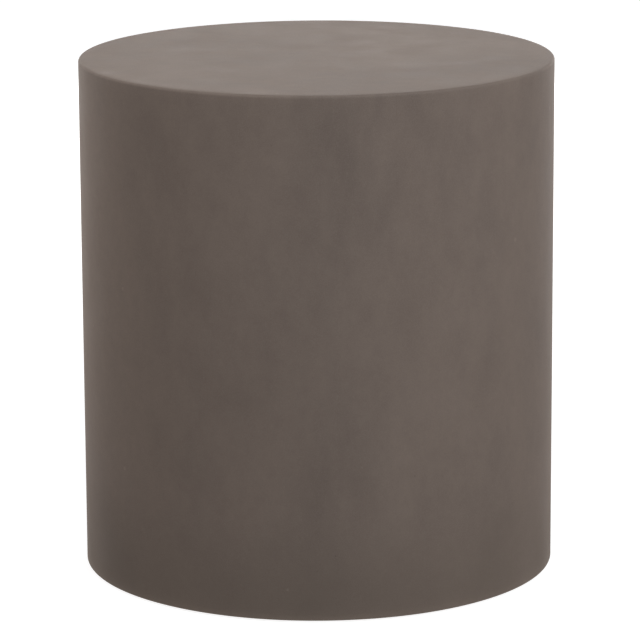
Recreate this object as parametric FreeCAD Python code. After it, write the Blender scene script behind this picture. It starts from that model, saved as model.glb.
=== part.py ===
import FreeCAD, Part
import math
import os

# A round side table. A hollow drum of fibre-reinforced concrete is closed underneath by a recessed
# plywood board, which is screwed to inserts cast in the drum and stands on four screw levellers.
# Millimetres, +Z up, origin on the floor under the middle of the table. Levellers are right in.

# Table
TABLE_DIAMETER = 420.0
TABLE_HEIGHT = 457.0
FLOOR_GAP = 1.5

# Concrete drum: the wall, the top, the ledge that bears on the board, and the rounded edges
WALL_THICKNESS = 14.0
TOP_THICKNESS = 18.0
LEDGE_WIDTH = 4.0
TOP_EDGE_RADIUS = 2.5
FOOT_EDGE_RADIUS = 2.0
LIP_EDGE_RADIUS = 1.0
INNER_CORNER_RADIUS = 12.0

# Bosses inside the drum's foot, one round each insert
BOSS_WIDTH = 34.0
BOSS_INSET = 16.0
BOSS_COVER = 12.0
BOSS_EDGE_RADIUS = 6.0

# Plywood board
BOARD_THICKNESS = 15.0
BOARD_CLEARANCE = 0.5
BOARD_EDGE_RADIUS = 0.8

# Brass inserts and the countersunk screws in them
INSERT_DIAMETER = 11.0
INSERT_SPARE = 5.0
INSERT_GROOVE_WIDTH = 2.0
INSERT_GROOVE_DEPTH = 0.8
SCREW_COUNT = 4
SCREW_THREAD_DIAMETER = 6.0
SCREW_GRIP = 15.0
SCREW_HEAD_DIAMETER = 12.0
SCREW_HEAD_LAND = 0.4
SCREW_SOCKET_WIDTH = 4.0
SCREW_SOCKET_DEPTH = 2.4
SCREW_TIP_RADIUS = 0.8
SCREW_HOLE_CLEARANCE = 0.3

# Tee nuts, pressed into the board from below
TEE_FLANGE_DIAMETER = 22.0
TEE_FLANGE_THICKNESS = 1.5
TEE_BARREL_DIAMETER = 10.0
TEE_BARREL_LENGTH = 11.0
TEE_BARREL_EDGE_RADIUS = 0.4
PRONG_COUNT = 4
PRONG_WIDTH = 3.0
PRONG_THICKNESS = 1.4
PRONG_LENGTH = 7.0

# Levellers: a threaded stud whose collar turns in a nylon foot with a rubber sole
LEVELLER_COUNT = 4
LEVELLER_INSET = 39.5
LEVELLER_TRAVEL = 10.0
STUD_THREAD_DIAMETER = 8.0
STUD_SPARE = 5.0
STUD_TIP_RADIUS = 1.0
STUD_HEX_WIDTH = 10.0
STUD_HEX_HEIGHT = 4.0
STUD_NECK_DIAMETER = 6.0
STUD_COLLAR_DIAMETER = 12.0
STUD_COLLAR_HEIGHT = 2.5
STUD_COLLAR_EDGE_RADIUS = 0.4
FOOT_DIAMETER = 30.0
FOOT_RIM_HEIGHT = 3.0
FOOT_HUB_DIAMETER = 20.0
FOOT_FLOOR = 2.5
FOOT_LIP = 1.7
FOOT_OUTER_RADIUS = 0.6
SOLE_THICKNESS = 2.0
SOLE_RECESS = 1.0
SOLE_MARGIN = 0.9
SOLE_EDGE_RADIUS = 0.5

# Clearances
CAST_FIT = 0.05
THREAD_FIT = 0.05
TURNING_GAP = 0.3
HEX_GAP = 0.7
STOP_GAP = 0.3

# Heights, from the floor up
FOOT_BOTTOM = SOLE_THICKNESS - SOLE_RECESS
POCKET_FLOOR = SOLE_THICKNESS + FOOT_FLOOR
POCKET_TOP = POCKET_FLOOR + STUD_COLLAR_HEIGHT + TURNING_GAP
FOOT_TOP = POCKET_TOP + FOOT_LIP
HEX_BOTTOM = FOOT_TOP + HEX_GAP
HEX_TOP = HEX_BOTTOM + STUD_HEX_HEIGHT
BOARD_BOTTOM = HEX_TOP + STOP_GAP
BOARD_TOP = BOARD_BOTTOM + BOARD_THICKNESS
TEE_NUT_TOP = BOARD_BOTTOM + TEE_FLANGE_THICKNESS + TEE_BARREL_LENGTH
STUD_TOP = TEE_NUT_TOP + LEVELLER_TRAVEL + STUD_SPARE
SCREW_TOP = BOARD_TOP + SCREW_GRIP
INSERT_TOP = SCREW_TOP + INSERT_SPARE
BOSS_TOP = INSERT_TOP + BOSS_COVER
TOP_UNDERSIDE = TABLE_HEIGHT - TOP_THICKNESS

# Radii of the drum, and the circles that the screws and levellers stand on
DRUM_RADIUS = TABLE_DIAMETER / 2
INNER_RADIUS = DRUM_RADIUS - WALL_THICKNESS
LIP_RADIUS = INNER_RADIUS + LEDGE_WIDTH
BOARD_RADIUS = LIP_RADIUS - BOARD_CLEARANCE
SCREW_CIRCLE = INNER_RADIUS - BOSS_INSET
LEVELLER_CIRCLE = BOARD_RADIUS - LEVELLER_INSET

# The screws stand on the row axes and the levellers half way between them
SCREW_STEP = 360.0 / SCREW_COUNT
LEVELLER_STEP = 360.0 / LEVELLER_COUNT
LEVELLER_START = LEVELLER_STEP / 2

ORIGIN = FreeCAD.Vector(0, 0, 0)
UP = FreeCAD.Vector(0, 0, 1)


def rounding(corner, before, after, radius):
    """Start, middle and end of the arc that rounds a corner between its two neighbours."""
    to_before = (before - corner).normalize()
    to_after = (after - corner).normalize()
    half = to_before.getAngle(to_after) / 2
    inward = (to_before + to_after).normalize()
    centre = corner + inward * (radius / math.sin(half))
    reach = radius / math.tan(half)
    return corner + to_before * reach, centre - inward * radius, corner + to_after * reach


def outline(corners):
    """Closed wire in the XZ plane through corners given as radius, height and, if rounded, rounding."""
    points = [FreeCAD.Vector(corner[0], 0, corner[1]) for corner in corners]
    edges, ends = [], []
    for index, corner in enumerate(corners):
        point = points[index]
        if len(corner) < 3:
            ends.append((point, point))
            continue
        following = points[(index + 1) % len(points)]
        start, middle, end = rounding(point, points[index - 1], following, corner[2])
        edges.append(Part.Arc(start, middle, end).toShape())
        ends.append((start, end))
    for index, (start, end) in enumerate(ends):
        following = ends[(index + 1) % len(ends)][0]
        edges.append(Part.LineSegment(end, following).toShape())
    return Part.Wire(Part.__sortEdges__(edges))


def turned(corners):
    """Solid turned about the Z axis from an outline."""
    return Part.Face(outline(corners)).revolve(ORIGIN, UP, 360)


def disc(diameter, bottom, top):
    return Part.makeCylinder(diameter / 2, top - bottom, FreeCAD.Vector(0, 0, bottom))


def hexagon(width, bottom, top):
    """Six-sided prism about the Z axis, measured across its flats."""
    reach = width / math.sqrt(3)
    turns = [math.radians(60 * side) for side in range(6)]
    points = [FreeCAD.Vector(reach * math.cos(a), reach * math.sin(a), bottom) for a in turns]
    face = Part.Face(Part.makePolygon(points + points[:1]))
    return face.extrude(UP * (top - bottom))


def on_circle(shape, radius, angle):
    """Copy of a shape built on the Z axis, moved out to a circle and turned to its angle."""
    copy = shape.copy()
    copy.translate(FreeCAD.Vector(radius, 0, 0))
    copy.rotate(ORIGIN, UP, angle)
    return copy


def at_screws(shape):
    return [on_circle(shape, SCREW_CIRCLE, SCREW_STEP * k) for k in range(SCREW_COUNT)]


def at_levellers(shape):
    angles = [LEVELLER_START + LEVELLER_STEP * k for k in range(LEVELLER_COUNT)]
    return [on_circle(shape, LEVELLER_CIRCLE, angle) for angle in angles]


def boss():
    """Block round one insert: a rounded nose, straight sides that run into the wall, a soft top edge."""
    half = BOSS_WIDTH / 2
    root = BOSS_INSET + WALL_THICKNESS / 2
    left, nose, right = (FreeCAD.Vector(x, y, BOARD_TOP) for x, y in ((0, half), (-half, 0), (0, -half)))
    far_right = FreeCAD.Vector(root, -half, BOARD_TOP)
    far_left = FreeCAD.Vector(root, half, BOARD_TOP)
    edges = [
        Part.Arc(left, nose, right).toShape(),
        Part.LineSegment(right, far_right).toShape(),
        Part.LineSegment(far_right, far_left).toShape(),
        Part.LineSegment(far_left, left).toShape(),
    ]
    block = Part.Face(Part.Wire(edges)).extrude(UP * (BOSS_TOP - BOARD_TOP))
    top_face = max(block.Faces, key=lambda face: face.CenterOfMass.z)
    free = [edge for edge in top_face.Edges if edge.CenterOfMass.x < root / 2]
    return block.makeFillet(BOSS_EDGE_RADIUS, free)


def drum_shell():
    """Concrete drum: top and wall in one casting, open at the foot, with a boss round each insert."""
    shell = turned([
        (0, TABLE_HEIGHT),
        (DRUM_RADIUS, TABLE_HEIGHT, TOP_EDGE_RADIUS),
        (DRUM_RADIUS, FLOOR_GAP, FOOT_EDGE_RADIUS),
        (LIP_RADIUS, FLOOR_GAP, LIP_EDGE_RADIUS),
        (LIP_RADIUS, BOARD_TOP),
        (INNER_RADIUS, BOARD_TOP),
        (INNER_RADIUS, TOP_UNDERSIDE, INNER_CORNER_RADIUS),
        (0, TOP_UNDERSIDE),
    ])
    shell = shell.fuse(at_screws(boss()))
    pocket = disc(INSERT_DIAMETER + 2 * CAST_FIT, BOARD_TOP, INSERT_TOP)
    return shell.cut(at_screws(pocket)).removeSplitter()


def base_board():
    """Plywood disc with countersunk screw holes and seats for the tee nuts."""
    board = turned([
        (0, BOARD_TOP),
        (BOARD_RADIUS, BOARD_TOP, BOARD_EDGE_RADIUS),
        (BOARD_RADIUS, BOARD_BOTTOM, BOARD_EDGE_RADIUS),
        (0, BOARD_BOTTOM),
    ])
    board = board.cut(at_screws(screw_body(SCREW_HOLE_CLEARANCE, BOARD_TOP)))
    return board.cut(at_levellers(tee_nut_body(CAST_FIT, BOARD_TOP)))


def board_insert():
    """Brass insert with two grooves that key it into the concrete."""
    outer = INSERT_DIAMETER / 2
    groove = outer - INSERT_GROOVE_DEPTH
    bore = SCREW_THREAD_DIAMETER / 2 + THREAD_FIT
    land = (INSERT_TOP - BOARD_TOP - 2 * INSERT_GROOVE_WIDTH) / 3
    low = BOARD_TOP + land
    high = INSERT_TOP - land
    return turned([
        (bore, BOARD_TOP),
        (outer, BOARD_TOP),
        (outer, low),
        (groove, low),
        (groove, low + INSERT_GROOVE_WIDTH),
        (outer, low + INSERT_GROOVE_WIDTH),
        (outer, high - INSERT_GROOVE_WIDTH),
        (groove, high - INSERT_GROOVE_WIDTH),
        (groove, high),
        (outer, high),
        (outer, INSERT_TOP),
        (bore, INSERT_TOP),
    ])


def screw_body(clearance, top):
    """Countersunk head and shank from the board's underside up, grown sideways by a clearance."""
    head = SCREW_HEAD_DIAMETER / 2 + clearance
    shank = SCREW_THREAD_DIAMETER / 2 + clearance
    land_top = BOARD_BOTTOM + SCREW_HEAD_LAND
    return turned([
        (0, BOARD_BOTTOM),
        (head, BOARD_BOTTOM),
        (head, land_top),
        (shank, land_top + head - shank),
        (shank, top),
        (0, top),
    ])


def board_screw():
    """Countersunk machine screw with a hexagon socket, its head flush with the board."""
    tip = SCREW_TOP - SCREW_TIP_RADIUS
    shank = SCREW_THREAD_DIAMETER / 2
    point = turned([
        (0, tip),
        (shank, tip),
        (shank - SCREW_TIP_RADIUS, SCREW_TOP),
        (0, SCREW_TOP),
    ])
    socket = hexagon(SCREW_SOCKET_WIDTH, BOARD_BOTTOM, BOARD_BOTTOM + SCREW_SOCKET_DEPTH)
    return screw_body(0, tip).fuse(point).cut(socket).removeSplitter()


def prong(clearance):
    """One pointed prong at the flange's rim, grown by a clearance."""
    outer = TEE_FLANGE_DIAMETER / 2 + clearance
    inner = TEE_FLANGE_DIAMETER / 2 - PRONG_THICKNESS - clearance
    half = PRONG_WIDTH / 2 + clearance
    root = BOARD_BOTTOM
    shoulder = root + PRONG_LENGTH - half
    sides = [(-half, root), (half, root), (half, shoulder), (0, root + PRONG_LENGTH + clearance), (-half, shoulder)]
    points = [FreeCAD.Vector(inner, y, z) for y, z in sides]
    blade = Part.Face(Part.makePolygon(points + points[:1])).extrude(FreeCAD.Vector(outer - inner, 0, 0))
    return blade.common(disc(2 * outer, root, BOARD_TOP))


def tee_nut_body(clearance, barrel_top):
    """Flange, barrel and prongs of a tee nut without its bore, grown by a clearance."""
    flange_top = BOARD_BOTTOM + TEE_FLANGE_THICKNESS
    flange = disc(TEE_FLANGE_DIAMETER + 2 * clearance, BOARD_BOTTOM, flange_top)
    barrel = disc(TEE_BARREL_DIAMETER + 2 * clearance, BOARD_BOTTOM, barrel_top)
    step = 360.0 / PRONG_COUNT
    prongs = [on_circle(prong(clearance), 0, step * k) for k in range(PRONG_COUNT)]
    return flange.fuse([barrel] + prongs).removeSplitter()


def tee_nut():
    """Pronged tee nut, its flange flush with the board's underside."""
    bore = disc(STUD_THREAD_DIAMETER + 2 * THREAD_FIT, BOARD_BOTTOM, TEE_NUT_TOP)
    return tee_nut_body(0, TEE_NUT_TOP).cut(bore)


def leveller_stud():
    """Threaded stud with a hexagon to turn it by, and a collar that the foot holds."""
    collar = STUD_COLLAR_DIAMETER / 2
    neck = STUD_NECK_DIAMETER / 2
    thread = STUD_THREAD_DIAMETER / 2
    collar_top = POCKET_FLOOR + STUD_COLLAR_HEIGHT
    stud = turned([
        (0, POCKET_FLOOR),
        (collar, POCKET_FLOOR, STUD_COLLAR_EDGE_RADIUS),
        (collar, collar_top, STUD_COLLAR_EDGE_RADIUS),
        (neck, collar_top),
        (neck, HEX_BOTTOM),
        (thread, HEX_BOTTOM),
        (thread, STUD_TOP - STUD_TIP_RADIUS),
        (thread - STUD_TIP_RADIUS, STUD_TOP),
        (0, STUD_TOP),
    ])
    return stud.fuse(hexagon(STUD_HEX_WIDTH, HEX_BOTTOM, HEX_TOP)).removeSplitter()


def leveller_foot():
    """Nylon foot whose lip snaps over the stud's collar, with a recess for the sole."""
    rim = FOOT_DIAMETER / 2
    hub = FOOT_HUB_DIAMETER / 2
    pocket = STUD_COLLAR_DIAMETER / 2 + TURNING_GAP
    mouth = STUD_NECK_DIAMETER / 2 + TURNING_GAP
    recess = rim - SOLE_MARGIN
    return turned([
        (0, SOLE_THICKNESS),
        (recess, SOLE_THICKNESS),
        (recess, FOOT_BOTTOM),
        (rim, FOOT_BOTTOM),
        (rim, FOOT_BOTTOM + FOOT_RIM_HEIGHT, FOOT_OUTER_RADIUS),
        (hub, FOOT_TOP, FOOT_OUTER_RADIUS),
        (mouth, FOOT_TOP),
        (mouth, POCKET_TOP),
        (pocket, POCKET_TOP),
        (pocket, POCKET_FLOOR),
        (0, POCKET_FLOOR),
    ])


def leveller_sole():
    """Rubber disc glued in the foot's recess, which meets the floor."""
    edge = FOOT_DIAMETER / 2 - SOLE_MARGIN - CAST_FIT
    return turned([
        (0, 0),
        (edge, 0, SOLE_EDGE_RADIUS),
        (edge, SOLE_THICKNESS),
        (0, SOLE_THICKNESS),
    ])


def save(node, shape):
    """Write one sub-part and print what it holds."""
    shape.exportStep(f"parts/{node}.step")
    print(f"{node}: {len(shape.Solids)} solid, {shape.Volume / 1000:.3f} cm3, valid {shape.isValid()}")


def save_each(node, shapes):
    for number, shape in enumerate(shapes, 1):
        save(f"{node}_{number}", shape)


os.makedirs("parts", exist_ok=True)
save("drum_shell", drum_shell())
save("base_board", base_board())
save_each("board_insert", at_screws(board_insert()))
save_each("board_screw", at_screws(board_screw()))
save_each("tee_nut", at_levellers(tee_nut()))
save_each("leveller_stud", at_levellers(leveller_stud()))
save_each("leveller_foot", at_levellers(leveller_foot()))
save_each("leveller_sole", at_levellers(leveller_sole()))
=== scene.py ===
import math

import bpy
from mathutils import Matrix, Vector


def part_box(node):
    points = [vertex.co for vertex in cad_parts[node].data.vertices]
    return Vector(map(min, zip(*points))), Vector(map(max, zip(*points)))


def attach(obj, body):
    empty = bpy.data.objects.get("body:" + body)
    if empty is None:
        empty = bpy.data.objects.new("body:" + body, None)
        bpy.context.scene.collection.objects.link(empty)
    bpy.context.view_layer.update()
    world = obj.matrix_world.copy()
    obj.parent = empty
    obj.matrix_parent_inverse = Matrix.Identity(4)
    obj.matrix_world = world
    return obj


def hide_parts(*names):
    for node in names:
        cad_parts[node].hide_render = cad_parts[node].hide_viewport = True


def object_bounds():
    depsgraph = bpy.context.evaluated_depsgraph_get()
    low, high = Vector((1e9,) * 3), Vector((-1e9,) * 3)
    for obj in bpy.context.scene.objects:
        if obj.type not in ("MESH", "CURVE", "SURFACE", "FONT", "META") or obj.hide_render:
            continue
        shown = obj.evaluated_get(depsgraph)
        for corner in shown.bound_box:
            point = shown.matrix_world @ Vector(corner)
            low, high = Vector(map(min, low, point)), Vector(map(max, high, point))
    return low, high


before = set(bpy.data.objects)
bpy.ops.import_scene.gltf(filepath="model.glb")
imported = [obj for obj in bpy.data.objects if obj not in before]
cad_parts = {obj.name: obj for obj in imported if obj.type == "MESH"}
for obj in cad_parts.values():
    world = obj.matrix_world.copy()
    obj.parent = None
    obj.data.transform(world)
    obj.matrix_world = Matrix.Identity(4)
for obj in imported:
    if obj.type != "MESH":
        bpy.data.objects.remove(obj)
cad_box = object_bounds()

# A round side table: a drum cast in concrete, closed underneath by a plywood board on four levellers.
# Metres, +Z up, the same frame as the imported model.

MM = 0.001

# Drum sizes that its box doesn't give
WALL = 14 * MM
TOP_SLAB = 18 * MM
LEDGE = 4 * MM
TOP_EDGE_ROUND = 2.5 * MM
FOOT_EDGE_ROUND = 2 * MM
LIP_EDGE_ROUND = 1 * MM
INNER_CORNER_ROUND = 12 * MM

# Blocks inside the drum's foot, one round each insert
BOSSES = 4
BOSS_WIDTH = 34 * MM
BOSS_COVER = 12 * MM
BOSS_ROUND = 6 * MM

# How far the cast faces stray from true: inwards only on the outside, both ways on the rolled inside
CAST_WAVE = 0.16 * MM
CAST_WAVE_LENGTH = 110 * MM
ROLLED_WAVE = 0.9 * MM
ROLLED_WAVE_LENGTH = 26 * MM

# Leveller studs, M8 thread
LEVELLERS = 4
THREAD_PITCH = 1.25 * MM
THREAD_DIAMETER = 8 * MM
THREAD_ROOT_DIAMETER = 6.47 * MM
NECK_DIAMETER = 6 * MM
COLLAR_HEIGHT = 2.5 * MM
COLLAR_ROUND = 0.4 * MM
HEX_SIDES = 6
HEX_WIDTH = 10 * MM
HEX_HEIGHT = 4 * MM
HEX_CHAMFER = 0.5 * MM
HEX_SEAT = 0.3 * MM
STUD_TIP = 1 * MM

# Ridge of the thread: half its base and half its crest as shares of the pitch, the share of its height
# that is sunk in the core, and how it grows from its ends, from a small start and then by the turn
RIDGE_HALF_BASE = 0.46
RIDGE_HALF_CREST = 0.0625
RIDGE_SUNK = 0.2
RIDGE_START = 0.05
RIDGE_GROWTH = 1.4

# How finely the shapes are cut: steps along the drum's profile and around it, sides of small round
# shapes, steps in a rounded corner, and steps in a turn of the thread
DRUM_STEP = 5.6 * MM
DRUM_STEPS_AROUND = 300
SMALL_ROUND_SIDES = 48
DRUM_CORNER_STEPS = 6
BOSS_CORNER_STEPS = 5
STUD_CORNER_STEPS = 3
THREAD_STEPS = 32

# Faces that meet at more than this angle share a sharp edge
DRUM_CREASE = math.radians(35)
STUD_CREASE = math.radians(28)

# Points that are closer than this are welded into one
WELD = 0.001 * MM

# Turns that lay a curve of the XZ plane flat, and that lay a block grown upwards along X
LAID_FLAT = (-math.pi / 2, 0, 0)
LAID_ALONG_X = (math.pi / 2, 0, math.pi / 2)

# Sockets of the Mix node when it mixes colours
MIX_SHARE, MIX_FIRST, MIX_SECOND, MIX_RESULT = 0, 6, 7, 2


def linear(code):
    """Linear colour, fully opaque, from an sRGB hex value."""
    shares = [int(code[i:i + 2], 16) / 255 for i in (0, 2, 4)]
    return tuple(s / 12.92 if s <= 0.04045 else ((s + 0.055) / 1.055) ** 2.4 for s in shares) + (1.0,)


def per_metre(millimetres):
    """Scale of a texture whose features are this far apart."""
    return 1000 / millimetres


def add(tree, kind, inputs=None, **settings):
    """One node with its settings. Each input takes a value, another node's output or a list of outputs."""
    node = tree.nodes.new(kind)
    for name, value in settings.items():
        setattr(node, name, value)
    for key, given in (inputs or {}).items():
        for value in given if isinstance(given, list) else [given]:
            if isinstance(value, bpy.types.NodeSocket):
                tree.links.new(value, node.inputs[key])
            else:
                node.inputs[key].default_value = value
    return node


# Shapes grown by node trees

def shape_tree(name, sizes):
    """Node tree with a named input for each size: a number, a whole number, a vector or a material."""
    tree = bpy.data.node_groups.new(name, "GeometryNodeTree")
    tree.interface.new_socket("Geometry", in_out="INPUT", socket_type="NodeSocketGeometry")
    tree.interface.new_socket("Geometry", in_out="OUTPUT", socket_type="NodeSocketGeometry")
    for label, value in sizes.items():
        kind = "Float"
        if isinstance(value, int):
            kind = "Int"
        if isinstance(value, Vector):
            kind = "Vector"
        if isinstance(value, bpy.types.Material):
            kind = "Material"
        tree.interface.new_socket(label, in_out="INPUT", socket_type=f"NodeSocket{kind}")
    return tree, tree.nodes.new("NodeGroupInput").outputs, tree.nodes.new("NodeGroupOutput")


def grown(name, tree, sizes):
    """Plain mesh object that a tree makes from its sizes."""
    piece = bpy.data.objects.new(name, bpy.data.meshes.new(name))
    bpy.context.scene.collection.objects.link(piece)
    modifier = piece.modifiers.new("shape", "NODES")
    modifier.node_group = tree
    for item in tree.interface.items_tree:
        if item.in_out == "INPUT" and item.name in sizes:
            modifier[item.identifier] = sizes[item.name]
    seen = piece.evaluated_get(bpy.context.evaluated_depsgraph_get())
    mesh = bpy.data.meshes.new_from_object(seen)
    mesh.name = name
    piece.modifiers.remove(modifier)
    piece.data = mesh
    return piece


def outline(tree, corners, round_steps=1):
    """Curve through corners in the XZ plane. Each has its distance across, its height, and the socket that
    gives its rounding, or None where it is sharp."""
    index = add(tree, "GeometryNodeInputIndex").outputs[0]
    places = add(tree, "GeometryNodeIndexSwitch", {"Index": index}, data_type="VECTOR")
    rounds = add(tree, "GeometryNodeIndexSwitch", {"Index": index}, data_type="FLOAT")
    for switch in (places, rounds):
        while len(switch.index_switch_items) < len(corners):
            switch.index_switch_items.new()
    for number, (across, up, rounding) in enumerate(corners, start=1):
        place = add(tree, "ShaderNodeCombineXYZ", {"X": across, "Z": up})
        tree.links.new(place.outputs[0], places.inputs[number])
        if rounding is not None:
            tree.links.new(rounding, rounds.inputs[number])
    points = add(tree, "GeometryNodePoints", {"Count": len(corners), "Position": places.outputs[0]})
    line = add(tree, "GeometryNodePointsToCurves", {"Points": points.outputs[0], "Weight": index})
    return add(tree, "GeometryNodeFilletCurve", {
        "Curve": line.outputs[0], "Count": round_steps, "Radius": rounds.outputs[0], "Limit Radius": True,
    }, mode="POLY").outputs[0]


def section(tree, corners, round_steps=1):
    """Closed curve through corners, laid flat so that it can be filled or swept."""
    line = outline(tree, corners, round_steps)
    loop = add(tree, "GeometryNodeSetSplineCyclic", {"Geometry": line, "Cyclic": True}).outputs[0]
    return add(tree, "GeometryNodeTransform", {"Geometry": loop, "Rotation": LAID_FLAT}).outputs[0]


def divided(tree, curve, step):
    """The same curve with its long stretches cut into steps."""
    here = add(tree, "GeometryNodeInputPosition").outputs[0]
    index = add(tree, "GeometryNodeInputIndex").outputs[0]
    following = add(tree, "FunctionNodeIntegerMath", {0: index, 1: 1}, operation="ADD").outputs[0]
    there = add(tree, "GeometryNodeFieldAtIndex", {"Value": here, "Index": following},
                data_type="FLOAT_VECTOR").outputs[0]
    apart = add(tree, "ShaderNodeVectorMath", {0: here, 1: there}, operation="DISTANCE").outputs["Value"]
    steps = add(tree, "ShaderNodeMath", {0: apart, 1: step}, operation="DIVIDE").outputs[0]
    cuts = add(tree, "ShaderNodeMath", {0: steps}, operation="FLOOR").outputs[0]
    return add(tree, "GeometryNodeSubdivideCurve", {"Curve": curve, "Cuts": cuts}).outputs[0]


def turned(tree, profile, around):
    """Closed shell made by turning a profile about Z, which starts and ends on the axis, from the top."""
    rows = add(tree, "GeometryNodeAttributeDomainSize", {"Geometry": profile}, component="CURVE")
    columns = add(tree, "FunctionNodeIntegerMath", {0: around, 1: 1}, operation="ADD").outputs[0]
    grid = add(tree, "GeometryNodeMeshGrid", {
        "Vertices X": rows.outputs["Point Count"], "Vertices Y": columns,
    }).outputs[0]
    index = add(tree, "GeometryNodeInputIndex").outputs[0]
    row = add(tree, "FunctionNodeIntegerMath", {0: index, 1: columns}, operation="DIVIDE_FLOOR").outputs[0]
    column = add(tree, "FunctionNodeIntegerMath", {0: index, 1: columns}, operation="MODULO").outputs[0]
    here = add(tree, "GeometryNodeInputPosition").outputs[0]
    point = add(tree, "GeometryNodeSampleIndex", {"Geometry": profile, "Value": here, "Index": row},
                data_type="FLOAT_VECTOR").outputs[0]
    share = add(tree, "ShaderNodeMath", {0: column, 1: around}, operation="DIVIDE").outputs[0]
    angle = add(tree, "ShaderNodeMath", {0: share, 1: math.tau}, operation="MULTIPLY").outputs[0]
    place = add(tree, "ShaderNodeVectorRotate", {"Vector": point, "Angle": angle},
                rotation_type="Z_AXIS").outputs[0]
    shell = add(tree, "GeometryNodeSetPosition", {"Geometry": grid, "Position": place}).outputs[0]
    return add(tree, "GeometryNodeMergeByDistance", {"Geometry": shell, "Distance": WELD}).outputs[0]


def smoothed(tree, shape, crease):
    """Smooth shading, with a sharp edge wherever two faces meet at more than the crease angle."""
    bend = add(tree, "GeometryNodeInputMeshEdgeAngle").outputs["Unsigned Angle"]
    soft = add(tree, "FunctionNodeCompare", {0: bend, 1: crease}, operation="LESS_THAN").outputs[0]
    faces = add(tree, "GeometryNodeSetShadeSmooth", {"Geometry": shape, "Shade Smooth": True},
                domain="FACE").outputs[0]
    return add(tree, "GeometryNodeSetShadeSmooth", {"Geometry": faces, "Shade Smooth": soft},
               domain="EDGE").outputs[0]


def lifted(tree, shape, height):
    """Shape moved up by a height."""
    shift = add(tree, "ShaderNodeCombineXYZ", {"Z": height}).outputs[0]
    return add(tree, "GeometryNodeTransform", {"Geometry": shape, "Translation": shift}).outputs[0]


def finished(tree, shape, place, material, outputs):
    """Shape moved to its place, made real, given its material and handed to the tree's output."""
    placed = add(tree, "GeometryNodeTransform", {"Geometry": shape, "Translation": place}).outputs[0]
    real = add(tree, "GeometryNodeRealizeInstances", {"Geometry": placed}).outputs[0]
    dressed = add(tree, "GeometryNodeSetMaterial", {"Geometry": real, "Material": material}).outputs[0]
    tree.links.new(dressed, outputs.inputs[0])


# Cast drum

def outside_faces(tree, parts, given):
    """1 on the drum's top and outside wall and under its foot, and 0 on the hidden inside."""
    y_squared = add(tree, "ShaderNodeMath", {0: parts["Y"], 1: parts["Y"]}, operation="MULTIPLY").outputs[0]
    squared = add(tree, "ShaderNodeMath", {0: parts["X"], 1: parts["X"], 2: y_squared},
                  operation="MULTIPLY_ADD").outputs[0]
    reach = add(tree, "ShaderNodeMath", {0: squared}, operation="SQRT").outputs[0]
    lip = add(tree, "ShaderNodeMath", {0: given["Lip radius"], 1: MM}, operation="ADD").outputs[0]
    beyond_lip = add(tree, "ShaderNodeMath", {0: reach, 1: lip}, operation="GREATER_THAN").outputs[0]
    top = add(tree, "ShaderNodeMath", {0: given["Height"], 1: MM}, operation="SUBTRACT").outputs[0]
    on_top = add(tree, "ShaderNodeMath", {0: parts["Z"], 1: top}, operation="GREATER_THAN").outputs[0]
    return add(tree, "ShaderNodeMath", {0: beyond_lip, 1: on_top}, operation="MAXIMUM").outputs[0]


def inside_faces(tree, parts, outside, given):
    """1 on the inside above the ledge that the board lies against, and 0 elsewhere."""
    ledge = add(tree, "ShaderNodeMath", {0: given["Board top"], 1: MM}, operation="ADD").outputs[0]
    above = add(tree, "ShaderNodeMath", {0: parts["Z"], 1: ledge}, operation="GREATER_THAN").outputs[0]
    hidden = add(tree, "ShaderNodeMath", {0: 1.0, 1: outside}, operation="SUBTRACT").outputs[0]
    return add(tree, "ShaderNodeMath", {0: above, 1: hidden}, operation="MULTIPLY").outputs[0]


def waved(tree, shell, given):
    """Shell whose outside strays inwards a little and whose hidden inside is as uneven as a rolled face."""
    here = add(tree, "GeometryNodeInputPosition").outputs[0]
    parts = add(tree, "ShaderNodeSeparateXYZ", {0: here}).outputs
    outside = outside_faces(tree, parts, given)
    inside = inside_faces(tree, parts, outside, given)
    long_wave = add(tree, "ShaderNodeTexNoise", {
        "Vector": here, "Scale": 1 / CAST_WAVE_LENGTH, "Detail": 2.0, "Roughness": 0.35,
    }).outputs["Fac"]
    short_wave = add(tree, "ShaderNodeTexNoise", {
        "Vector": here, "Scale": 1 / ROLLED_WAVE_LENGTH, "Detail": 3.0, "Roughness": 0.5,
    }).outputs["Fac"]
    inwards = add(tree, "ShaderNodeMath", {0: long_wave, 1: -CAST_WAVE}, operation="MULTIPLY").outputs[0]
    sunk = add(tree, "ShaderNodeMath", {0: inwards, 1: outside}, operation="MULTIPLY").outputs[0]
    centred = add(tree, "ShaderNodeMath", {0: short_wave, 1: 0.5}, operation="SUBTRACT").outputs[0]
    either_way = add(tree, "ShaderNodeMath", {0: centred, 1: ROLLED_WAVE}, operation="MULTIPLY").outputs[0]
    rolled = add(tree, "ShaderNodeMath", {0: either_way, 1: inside}, operation="MULTIPLY").outputs[0]
    depth = add(tree, "ShaderNodeMath", {0: sunk, 1: rolled}, operation="ADD").outputs[0]
    normal = add(tree, "GeometryNodeInputNormal").outputs[0]
    offset = add(tree, "ShaderNodeVectorMath", {0: normal, "Scale": depth}, operation="SCALE").outputs[0]
    return add(tree, "GeometryNodeSetPosition", {"Geometry": shell, "Offset": offset}).outputs[0]


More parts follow.
